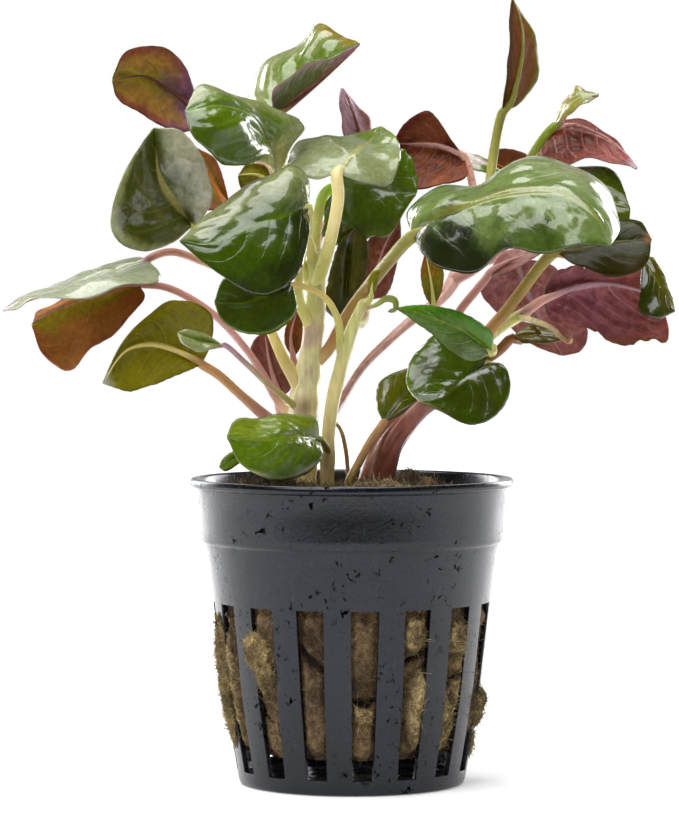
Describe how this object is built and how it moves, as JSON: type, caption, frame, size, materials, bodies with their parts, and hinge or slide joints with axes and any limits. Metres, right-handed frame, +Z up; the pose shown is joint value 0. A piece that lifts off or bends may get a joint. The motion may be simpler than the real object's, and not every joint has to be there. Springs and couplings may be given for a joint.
{
  "type": "potted cardinal flower",
  "caption": "Young cardinal flower with glossy green and purple leaves, rooted in rockwool in a black slotted net pot, for planting in an aquarium.",
  "frame": {"origin": "centre of the pot's flat underside", "axes": "+Z up along the pot's axis, +X to the right and +Y away from the viewer"},
  "size_m": [0.1087, 0.0618, 0.1289],
  "materials": {
    "pot_plastic": "moulded dark grey plastic, slightly glossy, with fine scuffs and black flecks",
    "rockwool": "matted brown mineral wool with loose tan fibres",
    "stem_green": "smooth pale yellow-green stem, slightly translucent",
    "stem_pink": "smooth reddish pink stem, slightly translucent",
    "leaf_green": "wet glossy green upper face with a fine net of veins, duller purple underside",
    "leaf_olive": "olive leaf lit through, with pale veins",
    "leaf_bronze": "bronze to red-brown underside with pale veins, glossy edge",
    "leaf_purple": "mauve purple underside with pink veins"
  },
  "bodies": {
    "root": {"pot": "pot_plastic", "rockwool": "rockwool", "stem_main": "stem_green", "stem_front": "stem_green", "stem_red": "stem_pink", "stem_pink": "stem_pink", "stem_right_branch": "stem_green", "stalk_thin": "stem_pink", "bud_centre": "stem_green", "bud_right": "stem_green", "leaf_01_upper_left": "leaf_olive", "leaf_02_high_left": "leaf_green", "leaf_03_left": "leaf_green", "leaf_04_left_behind": "leaf_bronze", "leaf_05_top": "leaf_green", "leaf_06_front_left": "leaf_green", "leaf_07_below_front_left": "leaf_green", "leaf_08_far_left": "leaf_green", "leaf_09_far_left_hanging": "leaf_bronze", "leaf_10_low_left": "leaf_olive", "leaf_11_curled_left": "leaf_green", "leaf_12_low_purple": "leaf_purple", "leaf_13_beside_stem": "leaf_purple", "leaf_14_front_low": "leaf_green", "leaf_15_tiny_low": "leaf_green", "leaf_16_centre_top": "leaf_green", "leaf_17_centre_behind": "leaf_green", "leaf_18_purple_tip": "leaf_purple", "leaf_19_red_behind": "leaf_bronze", "leaf_20_sliver": "leaf_green", "leaf_21_brown_behind": "leaf_bronze", "leaf_22_tall": "leaf_bronze", "leaf_23_rolled_shoot": "leaf_olive", "leaf_24_drooping_right": "leaf_bronze", "leaf_25_big_right": "leaf_green", "leaf_26_right_behind": "leaf_green", "leaf_27_right_low_band": "leaf_olive", "leaf_28_narrow_right": "leaf_purple", "leaf_29_far_right": "leaf_green", "leaf_30_big_purple": "leaf_purple", "leaf_31_purple_lobe": "leaf_purple", "leaf_32_front_right": "leaf_green", "leaf_33_front_right_round": "leaf_green", "leaf_34_low_right": "leaf_green", "leaf_35_small_olive": "leaf_olive", "leaf_36_centre_dark": "leaf_green", "leaf_37_centre_purple": "leaf_purple", "leaf_38_green_strip": "leaf_olive", "leaf_39_young_olive": "leaf_olive", "leaf_40_edge_curl": "leaf_green"}
  },
  "joints": []
}
